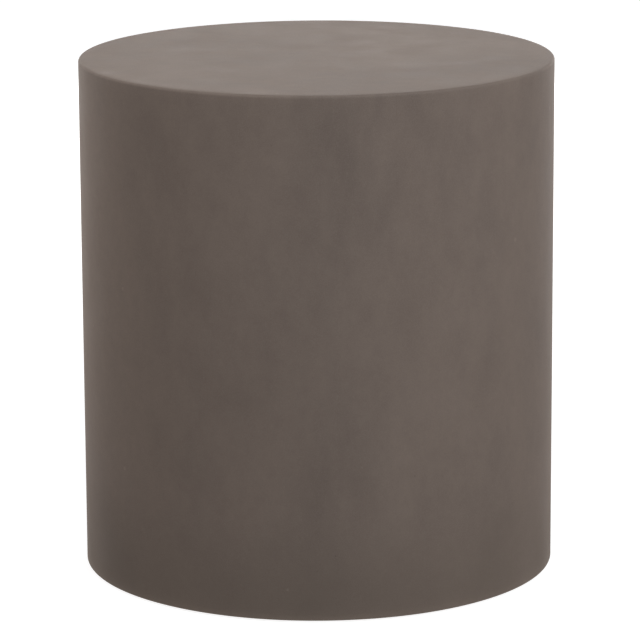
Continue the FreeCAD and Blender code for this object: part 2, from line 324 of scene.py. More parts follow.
def boss_block(tree, given):
    """Straight part of a boss, which runs out along X into the wall."""
    half = given["Boss half width"]
    back = add(tree, "ShaderNodeMath", {0: half, 1: -1.0}, operation="MULTIPLY").outputs[0]
    flat = section(tree, [
        (back, given["Board top"], None),
        (half, given["Board top"], None),
        (half, given["Boss top"], given["Boss rounding"]),
        (back, given["Boss top"], given["Boss rounding"]),
    ], BOSS_CORNER_STEPS)
    face = add(tree, "GeometryNodeFillCurve", {"Curve": flat}, mode="NGONS").outputs[0]
    swept = add(tree, "GeometryNodeExtrudeMesh", {
        "Mesh": face, "Offset": (0, 0, 1), "Offset Scale": given["Boss root"], "Individual": False,
    }, mode="FACES").outputs[0]
    lid = add(tree, "GeometryNodeFlipFaces", {"Mesh": face}).outputs[0]
    both = add(tree, "GeometryNodeJoinGeometry", {0: [swept, lid]}).outputs[0]
    closed = add(tree, "GeometryNodeMergeByDistance", {"Geometry": both, "Distance": WELD}).outputs[0]
    return add(tree, "GeometryNodeTransform", {"Geometry": closed, "Rotation": LAID_ALONG_X}).outputs[0]


def boss(tree, given):
    """One block round an insert: a round nose and a straight part."""
    nose_line = outline(tree, [
        (0.0, given["Boss top"], None),
        (given["Boss half width"], given["Boss top"], given["Boss rounding"]),
        (given["Boss half width"], given["Board top"], None),
        (0.0, given["Board top"], None),
    ], BOSS_CORNER_STEPS)
    nose = turned(tree, nose_line, SMALL_ROUND_SIDES)
    return add(tree, "GeometryNodeMeshBoolean", {1: [nose, boss_block(tree, given)]},
               operation="UNION", solver="MANIFOLD").outputs[0]


def pocket(tree, given):
    """Hole that an insert fills."""
    line = outline(tree, [
        (0.0, given["Pocket top"], None),
        (given["Pocket radius"], given["Pocket top"], None),
        (given["Pocket radius"], given["Pocket bottom"], None),
        (0.0, given["Pocket bottom"], None),
    ])
    return turned(tree, line, SMALL_ROUND_SIDES)


def on_screw_circle(tree, shape, given):
    """A copy of a shape at each screw, turned to face the wall."""
    ring = add(tree, "GeometryNodePoints", {"Count": given["Bosses"]}).outputs[0]
    index = add(tree, "GeometryNodeInputIndex").outputs[0]
    share = add(tree, "ShaderNodeMath", {0: index, 1: given["Bosses"]}, operation="DIVIDE").outputs[0]
    angle = add(tree, "ShaderNodeMath", {0: share, 1: math.tau}, operation="MULTIPLY").outputs[0]
    turn = add(tree, "ShaderNodeCombineXYZ", {"Z": angle}).outputs[0]
    outwards = add(tree, "ShaderNodeCombineXYZ", {"X": given["Screw circle"]}).outputs[0]
    first = add(tree, "GeometryNodeTransform", {"Geometry": shape, "Translation": outwards}).outputs[0]
    copies = add(tree, "GeometryNodeInstanceOnPoints", {
        "Points": ring, "Instance": first, "Rotation": turn,
    }).outputs[0]
    return add(tree, "GeometryNodeRealizeInstances", {"Geometry": copies}).outputs[0]


def drum_tree(sizes):
    """Cast drum: one profile turned about the axis, with bosses added and the insert pockets cut."""
    tree, given, outputs = shape_tree("cast drum", sizes)
    shell_line = outline(tree, [
        (0.0, given["Height"], None),
        (given["Radius"], given["Height"], given["Top edge"]),
        (given["Radius"], given["Floor gap"], given["Foot edge"]),
        (given["Lip radius"], given["Floor gap"], given["Lip edge"]),
        (given["Lip radius"], given["Board top"], None),
        (given["Inner radius"], given["Board top"], None),
        (given["Inner radius"], given["Slab underside"], given["Inner corner"]),
        (0.0, given["Slab underside"], None),
    ], DRUM_CORNER_STEPS)
    shell = turned(tree, divided(tree, shell_line, given["Step"]), given["Steps around"])
    shell = waved(tree, shell, given)
    pockets = on_screw_circle(tree, pocket(tree, given), given)
    bosses = on_screw_circle(tree, boss(tree, given), given)
    solid = add(tree, "GeometryNodeMeshBoolean", {1: [shell, bosses]},
                operation="UNION", solver="MANIFOLD").outputs[0]
    solid = add(tree, "GeometryNodeMeshBoolean", {0: solid, 1: pockets},
                operation="DIFFERENCE", solver="MANIFOLD").outputs[0]
    finished(tree, smoothed(tree, solid, DRUM_CREASE), Vector(), given["Material"], outputs)
    return tree


def cast_drum(material):
    """The drum in one casting, which takes its size from the solid drum, the board and an insert."""
    low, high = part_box("drum_shell")
    radius = min(high.x, high.y, -low.x, -low.y)
    board_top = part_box("base_board")[1].z
    insert_low, insert_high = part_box("board_insert_1")
    inner = radius - WALL
    circle = (insert_low.x + insert_high.x) / 2
    sizes = {
        "Radius": radius,
        "Height": high.z,
        "Floor gap": low.z,
        "Inner radius": inner,
        "Lip radius": inner + LEDGE,
        "Board top": board_top,
        "Slab underside": high.z - TOP_SLAB,
        "Top edge": TOP_EDGE_ROUND,
        "Foot edge": FOOT_EDGE_ROUND,
        "Lip edge": LIP_EDGE_ROUND,
        "Inner corner": INNER_CORNER_ROUND,
        "Step": DRUM_STEP,
        "Steps around": DRUM_STEPS_AROUND,
        "Bosses": BOSSES,
        "Screw circle": circle,
        "Boss half width": BOSS_WIDTH / 2,
        "Boss top": insert_high.z + BOSS_COVER,
        "Boss rounding": BOSS_ROUND,
        "Boss root": inner - circle + WALL / 2,
        "Pocket radius": (insert_high.y - insert_low.y) / 2,
        "Pocket top": insert_high.z,
        "Pocket bottom": board_top - MM,
        "Material": material,
    }
    drum = grown("cast_drum", drum_tree(sizes), sizes)
    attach(drum, "drum")
    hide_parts("drum_shell")


# Threaded studs of the levellers

def thread_path(tree, given, length, turns):
    """Coil on the core that the ridge follows, with its normals square to the axis."""
    coil = add(tree, "GeometryNodeCurveSpiral", {
        "Resolution": THREAD_STEPS, "Rotations": turns, "Start Radius": given["Root radius"],
        "End Radius": given["Root radius"], "Height": length,
    }).outputs[0]
    return add(tree, "GeometryNodeSetCurveNormal", {"Curve": coil}, mode="Z_UP").outputs[0]


def ridge_fade(tree, turns):
    """Size of the ridge along its path, which is small at both ends and full after two thirds of a turn."""
    along = add(tree, "GeometryNodeSplineParameter").outputs["Factor"]
    back = add(tree, "ShaderNodeMath", {0: 1.0, 1: along}, operation="SUBTRACT").outputs[0]
    to_end = add(tree, "ShaderNodeMath", {0: along, 1: back}, operation="MINIMUM").outputs[0]
    turned_by = add(tree, "ShaderNodeMath", {0: to_end, 1: turns}, operation="MULTIPLY").outputs[0]
    growth = add(tree, "ShaderNodeMath", {0: turned_by, 1: RIDGE_GROWTH, 2: RIDGE_START},
                 operation="MULTIPLY_ADD").outputs[0]
    return add(tree, "ShaderNodeMath", {0: growth, 1: 1.0}, operation="MINIMUM").outputs[0]


def ridge_section(tree, given):
    """Section of the ridge, with its foot sunk in the core so that the two join."""
    height = add(tree, "ShaderNodeMath", {0: given["Crest radius"], 1: given["Root radius"]},
                 operation="SUBTRACT").outputs[0]
    sunk = add(tree, "ShaderNodeMath", {0: height, 1: -RIDGE_SUNK}, operation="MULTIPLY").outputs[0]
    base, crest = [
        add(tree, "ShaderNodeMath", {0: given["Pitch"], 1: share}, operation="MULTIPLY").outputs[0]
        for share in (RIDGE_HALF_BASE, RIDGE_HALF_CREST)
    ]
    base_below, crest_below = [
        add(tree, "ShaderNodeMath", {0: half, 1: -1.0}, operation="MULTIPLY").outputs[0]
        for half in (base, crest)
    ]
    return section(tree, [
        (sunk, base, None),
        (sunk, base_below, None),
        (height, crest_below, None),
        (height, crest, None),
    ])


def thread_ridge(tree, given):
    """Right-hand helical ridge on the stud's core, which fades out at both ends."""
    length = add(tree, "ShaderNodeMath", {0: given["Thread top"], 1: given["Thread bottom"]},
                 operation="SUBTRACT").outputs[0]
    turns = add(tree, "ShaderNodeMath", {0: length, 1: given["Pitch"]}, operation="DIVIDE").outputs[0]
    ridge = add(tree, "GeometryNodeCurveToMesh", {
        "Curve": thread_path(tree, given, length, turns), "Profile Curve": ridge_section(tree, given),
        "Scale": ridge_fade(tree, turns), "Fill Caps": True,
    }).outputs[0]
    return lifted(tree, ridge, given["Thread bottom"])


def stud_core(tree, given):
    """Shank without its thread, neck and collar."""
    root = given["Root radius"]
    neck = given["Neck radius"]
    collar = given["Collar radius"]
    tip = add(tree, "ShaderNodeMath", {0: root, 1: given["Tip"]}, operation="SUBTRACT").outputs[0]
    shoulder = add(tree, "ShaderNodeMath", {0: given["Top"], 1: given["Tip"]},
                   operation="SUBTRACT").outputs[0]
    line = outline(tree, [
        (0.0, given["Top"], None),
        (tip, given["Top"], None),
        (root, shoulder, None),
        (root, given["Hexagon bottom"], None),
        (neck, given["Hexagon bottom"], None),
        (neck, given["Collar top"], None),
        (collar, given["Collar top"], given["Collar rounding"]),
        (collar, given["Bottom"], given["Collar rounding"]),
        (0.0, given["Bottom"], None),
    ], STUD_CORNER_STEPS)
    return turned(tree, line, SMALL_ROUND_SIDES)


def stud_hexagon(tree, given):
    """Hexagon with its corners chamfered by the cone at each end."""
    top, bottom = given["Hexagon top"], given["Hexagon bottom"]
    flat = add(tree, "ShaderNodeMath", {0: given["Hexagon width"], 1: 2.0}, operation="DIVIDE").outputs[0]
    corner = add(tree, "ShaderNodeMath", {0: given["Hexagon width"], 1: math.sqrt(3)},
                 operation="DIVIDE").outputs[0]
    deep = add(tree, "ShaderNodeMath", {0: top, 1: bottom}, operation="SUBTRACT").outputs[0]
    both = add(tree, "ShaderNodeMath", {0: top, 1: bottom}, operation="ADD").outputs[0]
    middle = add(tree, "ShaderNodeMath", {0: both, 1: 2.0}, operation="DIVIDE").outputs[0]
    prism = add(tree, "GeometryNodeMeshCylinder", {
        "Vertices": HEX_SIDES, "Radius": corner, "Depth": deep,
    }).outputs[0]
    upper = add(tree, "ShaderNodeMath", {0: top, 1: given["Chamfer"]}, operation="SUBTRACT").outputs[0]
    lower = add(tree, "ShaderNodeMath", {0: bottom, 1: given["Chamfer"]}, operation="ADD").outputs[0]
    cone_line = outline(tree, [
        (0.0, top, None),
        (flat, top, None),
        (corner, upper, None),
        (corner, lower, None),
        (flat, bottom, None),
        (0.0, bottom, None),
    ])
    cones = turned(tree, cone_line, SMALL_ROUND_SIDES)
    return add(tree, "GeometryNodeMeshBoolean", {1: [lifted(tree, prism, middle), cones]},
               operation="INTERSECT", solver="MANIFOLD").outputs[0]


def stud_tree(sizes):
    """Leveller stud: threaded shank, hexagon, neck and collar in one piece."""
    tree, given, outputs = shape_tree("threaded stud", sizes)
    parts = [stud_core(tree, given), stud_hexagon(tree, given), thread_ridge(tree, given)]
    stud = add(tree, "GeometryNodeMeshBoolean", {1: parts}, operation="UNION", solver="MANIFOLD").outputs[0]
    finished(tree, smoothed(tree, stud, STUD_CREASE), given["Place"], given["Material"], outputs)
    return tree


def leveller_studs(material):
    """The studs, each grown by the same tree in the place of its solid."""
    tree = None
    for number in range(1, LEVELLERS + 1):
        node = f"leveller_stud_{number}"
        low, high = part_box(node)
        axis = (low + high) / 2
        hex_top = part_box("base_board")[0].z - HEX_SEAT
        sizes = {
            "Place": Vector((axis.x, axis.y, 0)),
            "Top": high.z,
            "Bottom": low.z,
            "Crest radius": THREAD_DIAMETER / 2,
            "Root radius": THREAD_ROOT_DIAMETER / 2,
            "Pitch": THREAD_PITCH,
            "Tip": STUD_TIP,
            "Neck radius": NECK_DIAMETER / 2,
            "Collar radius": (high.x - low.x) / 2,
            "Collar top": low.z + COLLAR_HEIGHT,
            "Collar rounding": COLLAR_ROUND,
            "Hexagon width": HEX_WIDTH,
            "Hexagon top": hex_top,
            "Hexagon bottom": hex_top - HEX_HEIGHT,
            "Chamfer": HEX_CHAMFER,
            "Thread bottom": hex_top + THREAD_PITCH / 2,
            "Thread top": high.z - STUD_TIP - THREAD_PITCH / 2,
            "Material": material,
        }
        tree = tree or stud_tree(sizes)
        stud = grown(f"threaded_stud_{number}", tree, sizes)
        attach(stud, f"stud_{number}")
        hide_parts(node)


# Materials

# Sizes of the patterns in the materials, in millimetres from one feature to the next
DRIFT = 190
CLOUD = 80
PATCH = 30
MOTTLE = 9
STAIN = 40
LIME_SPACING = 34
HOLE_SPACING = 17
SAND = 0.8
WOOD_GRAIN = 60
WOOD_PORE = 1.2
PLY_PAIR = 2.8
ZINC_BLOOM = 4
DRAWING_MARK = 0.5
BRASS_OXIDE = 5
TURNING_MARK = 0.3
SPARK_GRAIN = 0.5
NYLON_CLOUD = 8
WEAVE_THREAD = 0.9
DUST = 6

# Most of a noise's values lie between these two
NOISE_LOW, NOISE_HIGH = 0.3, 0.7

# Radius of the widest lime speck and pin hole in millimetres, the smallest spot as a share of the widest,
# and the share of its radius over which a spot fades
LIME_RADIUS = 2.55
HOLE_RADIUS = 0.765
SMALLEST_SPOT = 0.35
SPOT_FADE = 0.45

# Where the concrete's clouds lie, chosen so that pale and dark ones fall much as they do on the real drum.
# Wet concrete runs down the mould, so the broad clouds are twice as tall as they are wide
DRIFT_PLACE = (7.29, 14.46, -6.86)
CLOUD_PLACE = (14.95, 15.99, 16.98)
PATCH_PLACE = (0.31, 0.12, 0.07)
CLOUD_STRETCH = (1.0, 1.0, 0.5)
# Height up to which the drum's foot is painted darker, as painted shade near the floor
PAINTED_FOOT_SHADE_HEIGHT = 90 * MM


def new_material(name):
    """Empty material and its tree."""
    material = bpy.data.materials.new(name)
    material.use_nodes = True
    material.node_tree.nodes.clear()
    return material, material.node_tree


def overlaid(tree, colour, layers):
    """Colour with others laid over it. Each layer has a pattern, the values of it at which the layer
    starts and is full, the share that it covers when full, and its own colour."""
    for pattern, start, full, most, code in layers:
        share = add(tree, "ShaderNodeMapRange", {
            "Value": pattern, "From Min": start, "From Max": full, "To Min": 0.0, "To Max": most,
        }, clamp=True).outputs[0]
        colour = add(tree, "ShaderNodeMix", {
            MIX_SHARE: share, MIX_FIRST: colour, MIX_SECOND: linear(code),
        }, data_type="RGBA").outputs[MIX_RESULT]
    return colour


def surfaced(tree, colour, gloss, relief, constants):
    """Principled surface, handed to the material's output. Gloss has a pattern and the roughness where it
    is low and where it is high; relief has a pattern, a strength and a depth."""
    pattern, smooth, rough = gloss
    roughness = add(tree, "ShaderNodeMapRange", {
        "Value": pattern, "From Min": NOISE_LOW, "From Max": NOISE_HIGH,
        "To Min": smooth, "To Max": rough,
    }, clamp=True).outputs[0]
    height, strength, depth = relief
    bump = add(tree, "ShaderNodeBump", {
        "Height": height, "Strength": strength, "Distance": depth,
    }).outputs[0]
    shader = add(tree, "ShaderNodeBsdfPrincipled", {
        "Base Color": colour, "Roughness": roughness, "Normal": bump, **constants,
    }).outputs[0]
    add(tree, "ShaderNodeOutputMaterial", {"Surface": shader})


def spots(tree, place, spacing, radius, kept):
    """Round spots up to this radius, one in each cell of this spacing, of which only a share is kept."""
    widest = radius / spacing
    cells = add(tree, "ShaderNodeTexVoronoi", {"Vector": place, "Scale": per_metre(spacing)}).outputs
    chance = add(tree, "ShaderNodeSeparateColor", {0: cells["Color"]}).outputs
    size = add(tree, "ShaderNodeMapRange", {
        "Value": chance["Green"], "To Min": widest * SMALLEST_SPOT, "To Max": widest,
    }, clamp=True).outputs[0]
    apart = add(tree, "ShaderNodeMath", {0: cells["Distance"], 1: size}, operation="DIVIDE").outputs[0]
    inside = add(tree, "ShaderNodeMath", {0: 1.0, 1: apart}, operation="SUBTRACT").outputs[0]
    dome = add(tree, "ShaderNodeMapRange", {"Value": inside, "From Max": SPOT_FADE}, clamp=True).outputs[0]
    chosen = add(tree, "ShaderNodeMath", {0: chance["Red"], 1: kept}, operation="LESS_THAN").outputs[0]
    return add(tree, "ShaderNodeMath", {0: dome, 1: chosen}, operation="MULTIPLY").outputs[0]


def broad_clouds(tree, place):
    """Broad, soft clouds of the cast face: slow drifts with smaller clouds over them."""
    drift_place = add(tree, "ShaderNodeMapping", {
        "Vector": place, "Location": DRIFT_PLACE, "Scale": CLOUD_STRETCH,
    }).outputs[0]
    drift = add(tree, "ShaderNodeTexNoise", {
        "Vector": drift_place, "Scale": per_metre(DRIFT), "Detail": 1.0,
    }).outputs["Fac"]
    cloud_place = add(tree, "ShaderNodeMapping", {
        "Vector": place, "Location": CLOUD_PLACE, "Scale": CLOUD_STRETCH,
    }).outputs[0]
    cloud = add(tree, "ShaderNodeTexNoise", {
        "Vector": cloud_place, "Scale": per_metre(CLOUD), "Detail": 2.0, "Roughness": 0.45,
        "Distortion": 0.3,
    }).outputs["Fac"]
    cloud = add(tree, "ShaderNodeMath", {0: cloud, 1: 0.6, 2: -0.25}, operation="MULTIPLY_ADD").outputs[0]
    return add(tree, "ShaderNodeMath", {0: drift, 1: 0.9, 2: cloud}, operation="MULTIPLY_ADD").outputs[0]


def concrete_patterns(tree, place):
    """Patches, mottle, sand, stains, lime and pin holes of the cast face."""
    place = add(tree, "ShaderNodeMapping", {"Vector": place, "Location": PATCH_PLACE}).outputs[0]
    patch_place = add(tree, "ShaderNodeMapping", {
        "Vector": place, "Location": PATCH_PLACE, "Scale": CLOUD_STRETCH,
    }).outputs[0]
    patch = add(tree, "ShaderNodeTexNoise", {
        "Vector": patch_place, "Scale": per_metre(PATCH), "Detail": 4.0, "Roughness": 0.55,
    }).outputs["Fac"]
    mottle = add(tree, "ShaderNodeTexNoise", {
        "Vector": place, "Scale": per_metre(MOTTLE), "Detail": 3.0, "Roughness": 0.6,
    }).outputs["Fac"]
    # sand is 0.2 to 0.6 mm across, and is drawn a little coarser so that it shows close by
    sand = add(tree, "ShaderNodeTexNoise", {
        "Vector": place, "Scale": per_metre(SAND), "Detail": 2.0, "Roughness": 0.7,
    }).outputs["Fac"]
    stain = add(tree, "ShaderNodeTexNoise", {
        "Vector": place, "Scale": per_metre(STAIN), "Detail": 2.0, "Roughness": 0.4,
    }).outputs["Fac"]
    lime = spots(tree, place, LIME_SPACING, LIME_RADIUS, kept=0.4)
    holes = spots(tree, place, HOLE_SPACING, HOLE_RADIUS, kept=0.25)
    return patch, mottle, sand, stain, lime, holes


def concrete_relief(tree, mottle, sand, holes):
    """Height of the cast face: a soft mottle, fine sand and sunk pin holes."""
    soft = add(tree, "ShaderNodeMath", {0: mottle, 1: 0.12}, operation="MULTIPLY").outputs[0]
    grainy = add(tree, "ShaderNodeMath", {0: sand, 1: 0.05, 2: soft}, operation="MULTIPLY_ADD").outputs[0]
    sunk = add(tree, "ShaderNodeMath", {0: holes, 1: 0.7}, operation="MULTIPLY").outputs[0]
    return add(tree, "ShaderNodeMath", {0: grainy, 1: sunk}, operation="SUBTRACT").outputs[0]


def sealed_concrete():
    """Glass-fibre concrete cast face down in a smooth mould, then sealed with a matt water-based sealer.
    To the eye: a close, warm grey face with soft clouds where the cement paste dried unevenly, sand
    grain, a few stains, pale lime specks and pin holes, and a dull sheen at a glance."""
    material, tree = new_material("sealed_cast_concrete")
    place = add(tree, "ShaderNodeTexCoord").outputs["Object"]
    height = add(tree, "ShaderNodeSeparateXYZ", {0: place}).outputs["Z"]
    cloud = broad_clouds(tree, place)
    patch, mottle, sand, stain, lime, holes = concrete_patterns(tree, place)
    # painted shade: the foot is darker near the floor, up to a wavy line
    wavy = add(tree, "ShaderNodeMath", {0: cloud, 1: patch}, operation="SUBTRACT").outputs[0]
    level = add(tree, "ShaderNodeMath", {0: wavy, 1: PAINTED_FOOT_SHADE_HEIGHT, 2: height},
                operation="MULTIPLY_ADD").outputs[0]
    colour = overlaid(tree, linear("6e6159"), [
        (cloud, NOISE_LOW, NOISE_HIGH, 1.0, "7e6f65"),
        (patch, 0.35, 0.68, 0.5, "86776d"),
        (mottle, 0.35, 0.7, 0.16, "675850"),
        (sand, 0.4, 0.7, 0.3, "93857b"),
        # painted shade near the floor, darker towards the foot
        (level, PAINTED_FOOT_SHADE_HEIGHT, 0.0, 0.42, "655a50"),
        (stain, 0.56, 0.8, 0.12, "61544c"),
        (lime, 0.0, 1.0, 0.25, "9f9087"),
        # the pin holes are painted dark, as painted shade inside them
        (holes, 0.0, 1.0, 0.5, "463e3a"),
    ])
    gloss = add(tree, "ShaderNodeMapRange", {
        "Value": patch, "From Min": NOISE_LOW, "From Max": NOISE_HIGH, "To Min": 0.66, "To Max": 0.76,
    }, clamp=True).outputs[0]
    roughness = add(tree, "ShaderNodeMath", {0: sand, 1: 0.06, 2: gloss},
                    operation="MULTIPLY_ADD").outputs[0]
    relief = concrete_relief(tree, mottle, sand, holes)
    bump = add(tree, "ShaderNodeBump", {"Height": relief, "Strength": 0.5, "Distance": 0.5 * MM}).outputs[0]
    # the open, grainy face scatters most of what a closed one would mirror
    shader = add(tree, "ShaderNodeBsdfPrincipled", {
        "Base Color": colour, "Roughness": roughness, "Normal": bump, "IOR": 1.5,
        "Specular IOR Level": 0.2,
    }).outputs[0]
    add(tree, "ShaderNodeOutputMaterial", {"Surface": shader})
    return material


def plywood_face(tree, place, pores):
    """Colour of the board's faces: wavy rotary-cut grain along X, with dark pores."""
    along = add(tree, "ShaderNodeMapping", {"Vector": place, "Scale": (0.09, 1.0, 0.0)}).outputs[0]
    drift = add(tree, "ShaderNodeTexNoise", {
        "Vector": along, "Scale": per_metre(WOOD_GRAIN), "Detail": 2.0, "Distortion": 0.6,
    }).outputs["Fac"]
    rings = add(tree, "ShaderNodeTexWave", {
        "Vector": along, "Scale": per_metre(WOOD_GRAIN), "Distortion": 14.0, "Detail": 2.0,
        "Detail Scale": 0.8,
    }, wave_type="BANDS", bands_direction="Y").outputs["Fac"]
    return overlaid(tree, linear("c9a777"), [
        (drift, NOISE_LOW, NOISE_HIGH, 1.0, "dcc094"),
        (rings, 0.0, 1.0, 0.45, "b88f5f"),
        (pores, 0.5, 0.75, 0.4, "8f6c44"),
    ])


def plywood_edge(tree, place):
    """Colour of the board's edge: pale plies, and darker ones where the end grain shows."""
    height = add(tree, "ShaderNodeSeparateXYZ", {0: place}).outputs["Z"]
    pairs = add(tree, "ShaderNodeMath", {0: height, 1: per_metre(PLY_PAIR)},
                operation="MULTIPLY").outputs[0]
    ply = add(tree, "ShaderNodeMath", {0: pairs}, operation="FRACT").outputs[0]
    end_grain = add(tree, "ShaderNodeMath", {0: ply, 1: 0.5}, operation="GREATER_THAN").outputs[0]
    return overlaid(tree, linear("d3b588"), [(end_grain, 0.0, 1.0, 1.0, "8d6a45")])


def birch_plywood():
    """Birch plywood with rotary-cut faces, sanded and oiled. To the eye: pale straw wood with long wavy
    grain on the face, and light and dark plies 1.4 mm thick on the edge."""
    material, tree = new_material("birch_plywood")
    coordinates = add(tree, "ShaderNodeTexCoord").outputs
    place = coordinates["Object"]
    pore_place = add(tree, "ShaderNodeMapping", {"Vector": place, "Scale": (0.05, 1.0, 1.0)}).outputs[0]
    pores = add(tree, "ShaderNodeTexNoise", {
        "Vector": pore_place, "Scale": per_metre(WOOD_PORE),
    }).outputs["Fac"]
    facing = add(tree, "ShaderNodeSeparateXYZ", {0: coordinates["Normal"]}).outputs["Z"]
    level = add(tree, "ShaderNodeMath", {0: facing}, operation="ABSOLUTE").outputs[0]
    flat = add(tree, "ShaderNodeMath", {0: level, 1: 0.6}, operation="GREATER_THAN").outputs[0]
    colour = add(tree, "ShaderNodeMix", {
        MIX_SHARE: flat, MIX_FIRST: plywood_edge(tree, place), MIX_SECOND: plywood_face(tree, place, pores),
    }, data_type="RGBA").outputs[MIX_RESULT]
    surfaced(tree, colour, (pores, 0.5, 0.68), (pores, 0.3, 0.1 * MM), {"IOR": 1.47})
    return material


def zinc_plated_steel():
    """Cold-formed steel, zinc plated and clear passivated. To the eye: a bluish silver with a soft satin
    break-up and faint drawing marks."""
    material, tree = new_material("zinc_plated_steel")
    place = add(tree, "ShaderNodeTexCoord").outputs["Object"]
    bloom = add(tree, "ShaderNodeTexNoise", {
        "Vector": place, "Scale": per_metre(ZINC_BLOOM), "Detail": 3.0, "Roughness": 0.6,
    }).outputs["Fac"]
    along = add(tree, "ShaderNodeMapping", {"Vector": place, "Scale": (1.0, 1.0, 0.12)}).outputs[0]
    marks = add(tree, "ShaderNodeTexNoise", {
        "Vector": along, "Scale": per_metre(DRAWING_MARK),
    }).outputs["Fac"]
    colour = overlaid(tree, linear("b4b9bf"), [(bloom, 0.35, 0.65, 1.0, "cdd0d2")])
    surfaced(tree, colour, (bloom, 0.26, 0.4), (marks, 0.25, 0.05 * MM), {"Metallic": 1.0})
    return material


def turned_brass():
    """Free-cutting brass, turned and left bare. To the eye: yellow metal with fine rings round its axis and
    a slightly dull oxide."""
    material, tree = new_material("turned_brass")
    place = add(tree, "ShaderNodeTexCoord").outputs["Object"]
    around = add(tree, "ShaderNodeMapping", {"Vector": place, "Scale": (0.02, 0.02, 1.0)}).outputs[0]
    rings = add(tree, "ShaderNodeTexNoise", {
        "Vector": around, "Scale": per_metre(TURNING_MARK),
    }).outputs["Fac"]
    oxide = add(tree, "ShaderNodeTexNoise", {
        "Vector": place, "Scale": per_metre(BRASS_OXIDE), "Detail": 3.0,
    }).outputs["Fac"]
    colour = overlaid(tree, linear("cfae63"), [(oxide, 0.35, 0.7, 1.0, "a98748")])
    surfaced(tree, colour, (oxide, 0.28, 0.42), (rings, 0.3, 0.04 * MM), {"Metallic": 1.0})
    return material


def moulded_nylon():
    """Black nylon, injection moulded with a fine spark-eroded texture. To the eye: nearly black, with a
    soft sheen broken by a grain of about half a millimetre."""
    material, tree = new_material("moulded_nylon")
    place = add(tree, "ShaderNodeTexCoord").outputs["Object"]
    grain = add(tree, "ShaderNodeTexNoise", {
        "Vector": place, "Scale": per_metre(SPARK_GRAIN),
    }).outputs["Fac"]
    cloud = add(tree, "ShaderNodeTexNoise", {
        "Vector": place, "Scale": per_metre(NYLON_CLOUD),
    }).outputs["Fac"]
    colour = overlaid(tree, linear("1b1b1c"), [(cloud, NOISE_LOW, NOISE_HIGH, 1.0, "242425")])
    surfaced(tree, colour, (grain, 0.42, 0.56), (grain, 0.4, 0.06 * MM), {"IOR": 1.53})
    return material


def pressed_weave(tree, place):
    """Height of a cross weave pressed in a flat face."""
    parts = add(tree, "ShaderNodeSeparateXYZ", {0: place}).outputs
    threads = per_metre(WEAVE_THREAD) * math.tau
    across, along = [
        add(tree, "ShaderNodeMath", {0: parts[axis], 1: threads}, operation="MULTIPLY").outputs[0]
        for axis in ("X", "Y")
    ]
    rows = add(tree, "ShaderNodeMath", {0: across}, operation="SINE").outputs[0]
    columns = add(tree, "ShaderNodeMath", {0: along}, operation="SINE").outputs[0]
    return add(tree, "ShaderNodeMath", {0: rows, 1: columns}, operation="MULTIPLY").outputs[0]


def sole_rubber():
    """Die-cut rubber sheet with a pressed fabric face. To the eye: dead matt dark grey with a fine cross
    weave and a little dust in it."""
    material, tree = new_material("sole_rubber")
    place = add(tree, "ShaderNodeTexCoord").outputs["Object"]
    dust = add(tree, "ShaderNodeTexNoise", {
        "Vector": place, "Scale": per_metre(DUST), "Detail": 4.0, "Roughness": 0.65,
    }).outputs["Fac"]
    colour = overlaid(tree, linear("262627"), [(dust, 0.45, 0.75, 0.5, "57534f")])
    weave = pressed_weave(tree, place)
    surfaced(tree, colour, (dust, 0.78, 0.92), (weave, 0.5, 0.12 * MM), {"IOR": 1.52})
    return material


def dress(kind, material):
    """Give every CAD node of a kind its material."""
    for name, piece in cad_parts.items():
        if name.rstrip("0123456789").rstrip("_") == kind:
            piece.data.materials.clear()
            piece.data.materials.append(material)


# Stage, lights and camera

BACKGROUND = linear("ffffff")

# The floor has a hole under the table, which the foot hides. Out to the second radius it looks solid but
# lets light through, so that the foot's edge and the underside aren't black
FLOOR_RADIUS = 5.0
FLOOR_DROP = 0.02 * MM
FLOOR_SIDES = 96
FLOOR_HOLE_RADIUS = 198 * MM
FOOT_LIGHT_RADIUS = 214 * MM

# Greys of the floor as it lights the table and as it is seen, and how much it glows near and far off
FLOOR_GREY = "606060"
SEEN_FLOOR_GREY = "a0a0a0"
GLOW_NEAR, GLOW_NEAR_LEVEL = 0.4, 0.86
GLOW_FAR, GLOW_FAR_LEVEL = 1.6, 1.0

# The photograph's camera, fitted to the drum's outline
IMAGE_LONG_SIDE = 641
FOCAL_PIXELS = 3895.5
SENSOR = 36.0
CAMERA_DISTANCE = 3.4868
CAMERA_PITCH = math.radians(12.862)
AIM_RIGHT = math.radians(0.034)
AIM_UP = math.radians(-0.180)
CAMERA_ROLL = math.radians(-0.294)


def seen_directly(tree):
    """1 for what the eye sees, also in metal or through glass, and 0 for light on its way to a surface."""
    path = add(tree, "ShaderNodeLightPath").outputs
    mirrored = add(tree, "ShaderNodeMath", {0: path["Is Glossy Ray"], 1: path["Is Transmission Ray"]},
                   operation="MAXIMUM").outputs[0]
    return add(tree, "ShaderNodeMath", {0: path["Is Camera Ray"], 1: mirrored},
               operation="MAXIMUM").outputs[0]


def white_world(level):
    """White to the eye, and an even light of a lower level on the object."""
    world = bpy.data.worlds.new("studio")
    world.use_nodes = True
    tree = world.node_tree
    tree.nodes.clear()
    shown = add(tree, "ShaderNodeBackground", {"Color": BACKGROUND, "Strength": 1.0}).outputs[0]
    light = add(tree, "ShaderNodeBackground", {"Color": BACKGROUND, "Strength": level}).outputs[0]
    both = add(tree, "ShaderNodeMixShader", {0: seen_directly(tree), 1: light, 2: shown}).outputs[0]
    add(tree, "ShaderNodeOutputWorld", {"Surface": both})
    bpy.context.scene.world = world


